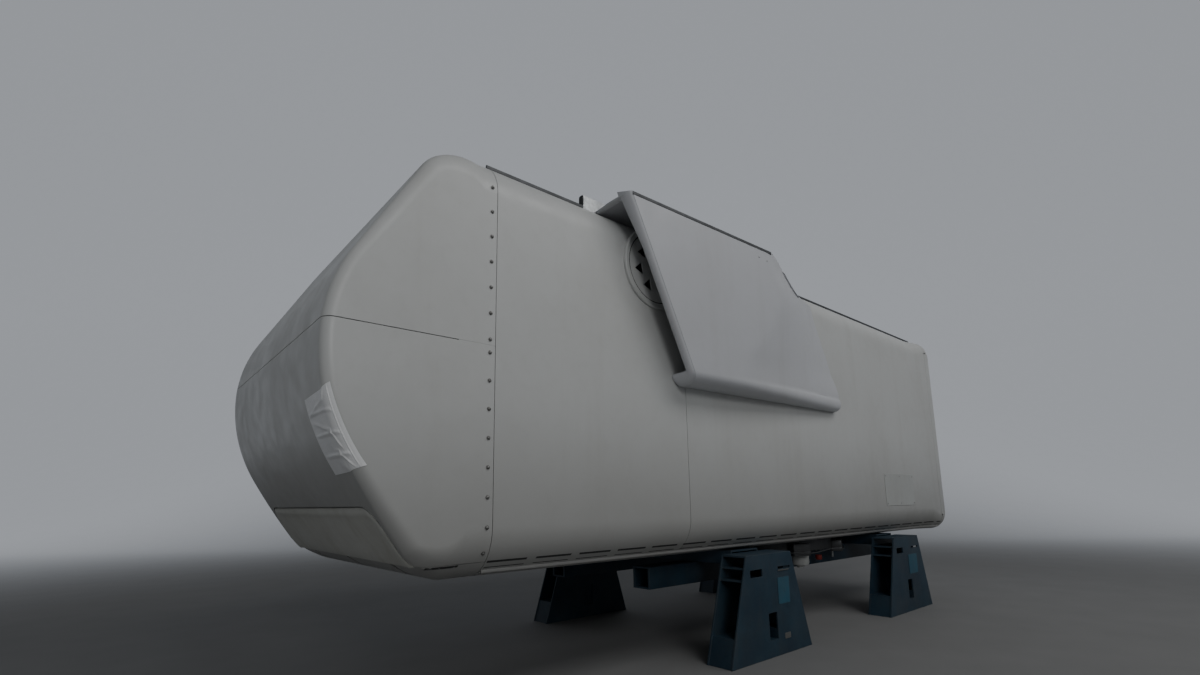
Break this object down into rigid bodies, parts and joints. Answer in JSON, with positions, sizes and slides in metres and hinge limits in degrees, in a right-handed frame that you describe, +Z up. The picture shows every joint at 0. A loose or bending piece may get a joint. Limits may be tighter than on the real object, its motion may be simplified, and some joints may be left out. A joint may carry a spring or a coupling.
{
  "type": "wind turbine nacelle on transport stands",
  "caption": "Boxy white wind turbine housing with a curved rear cap, side air scoops and a rear hatch, standing on blue steel transport stands.",
  "frame": {"origin": "on the ground under the middle of the whole object", "axes": "+X along the housing to the rotor end, +Y to the left side, +Z up"},
  "size_m": [10.6, 3.64, 4.56],
  "materials": {
    "gelcoat": "satin white gelcoat on glass fibre",
    "grey_plastic": "matt",
    "dark_steel": "dull dark paint",
    "galvanised_steel": "dull zinc",
    "machined_steel": "machined",
    "blue_paint": "worn satin blue paint"
  },
  "bodies": {
    "nacelle": {"rear_cap_upper": "gelcoat", "rear_cap_lower": "gelcoat", "rear_floor_panel": "gelcoat", "hatch_hinge_pin_right": "machined_steel", "hatch_hinge_pin_middle": "machined_steel", "hatch_hinge_pin_left": "machined_steel", "roof_panel_rear": "gelcoat", "roof_panel_front": "gelcoat", "side_wall_rear_right": "gelcoat", "side_wall_rear_left": "gelcoat", "side_wall_front_right": "gelcoat", "side_wall_front_left": "gelcoat", "floor_panel_rear": "gelcoat", "floor_panel_front": "gelcoat", "front_wall": "gelcoat", "front_collar": "gelcoat", "rotor_flange": "machined_steel", "scoop_cover_right": "gelcoat", "scoop_cover_left": "gelcoat", "scoop_top_rail_right": "dark_steel", "scoop_top_rail_left": "dark_steel", "vent_guard_right": "gelcoat", "vent_guard_left": "gelcoat", "roof_edge_rail_rear_right": "dark_steel", "roof_edge_rail_rear_left": "dark_steel", "roof_edge_rail_front_right": "dark_steel", "roof_edge_rail_front_left": "dark_steel", "roof_rail_right": "galvanised_steel", "roof_rail_left": "galvanised_steel", "side_cover_right": "grey_plastic", "side_cover_left": "grey_plastic", "yaw_ring": "machined_steel", "girder_right": "blue_paint", "girder_left": "blue_paint", "cross_bearer_rear": "blue_paint", "cross_bearer_front": "blue_paint", "stand_rear_right": "blue_paint", "stand_rear_left": "blue_paint", "stand_front_right": "blue_paint", "stand_front_left": "blue_paint"},
    "hatch": {"rear_hatch": "gelcoat"}
  },
  "joints": [
    {"name": "hatch_hinge", "type": "hinge", "parent": "nacelle", "child": "hatch", "pos_m": [-4.4655, 0, 1.1986], "axis": [0, -1, 0], "range_deg": [0, 120]}
  ]
}
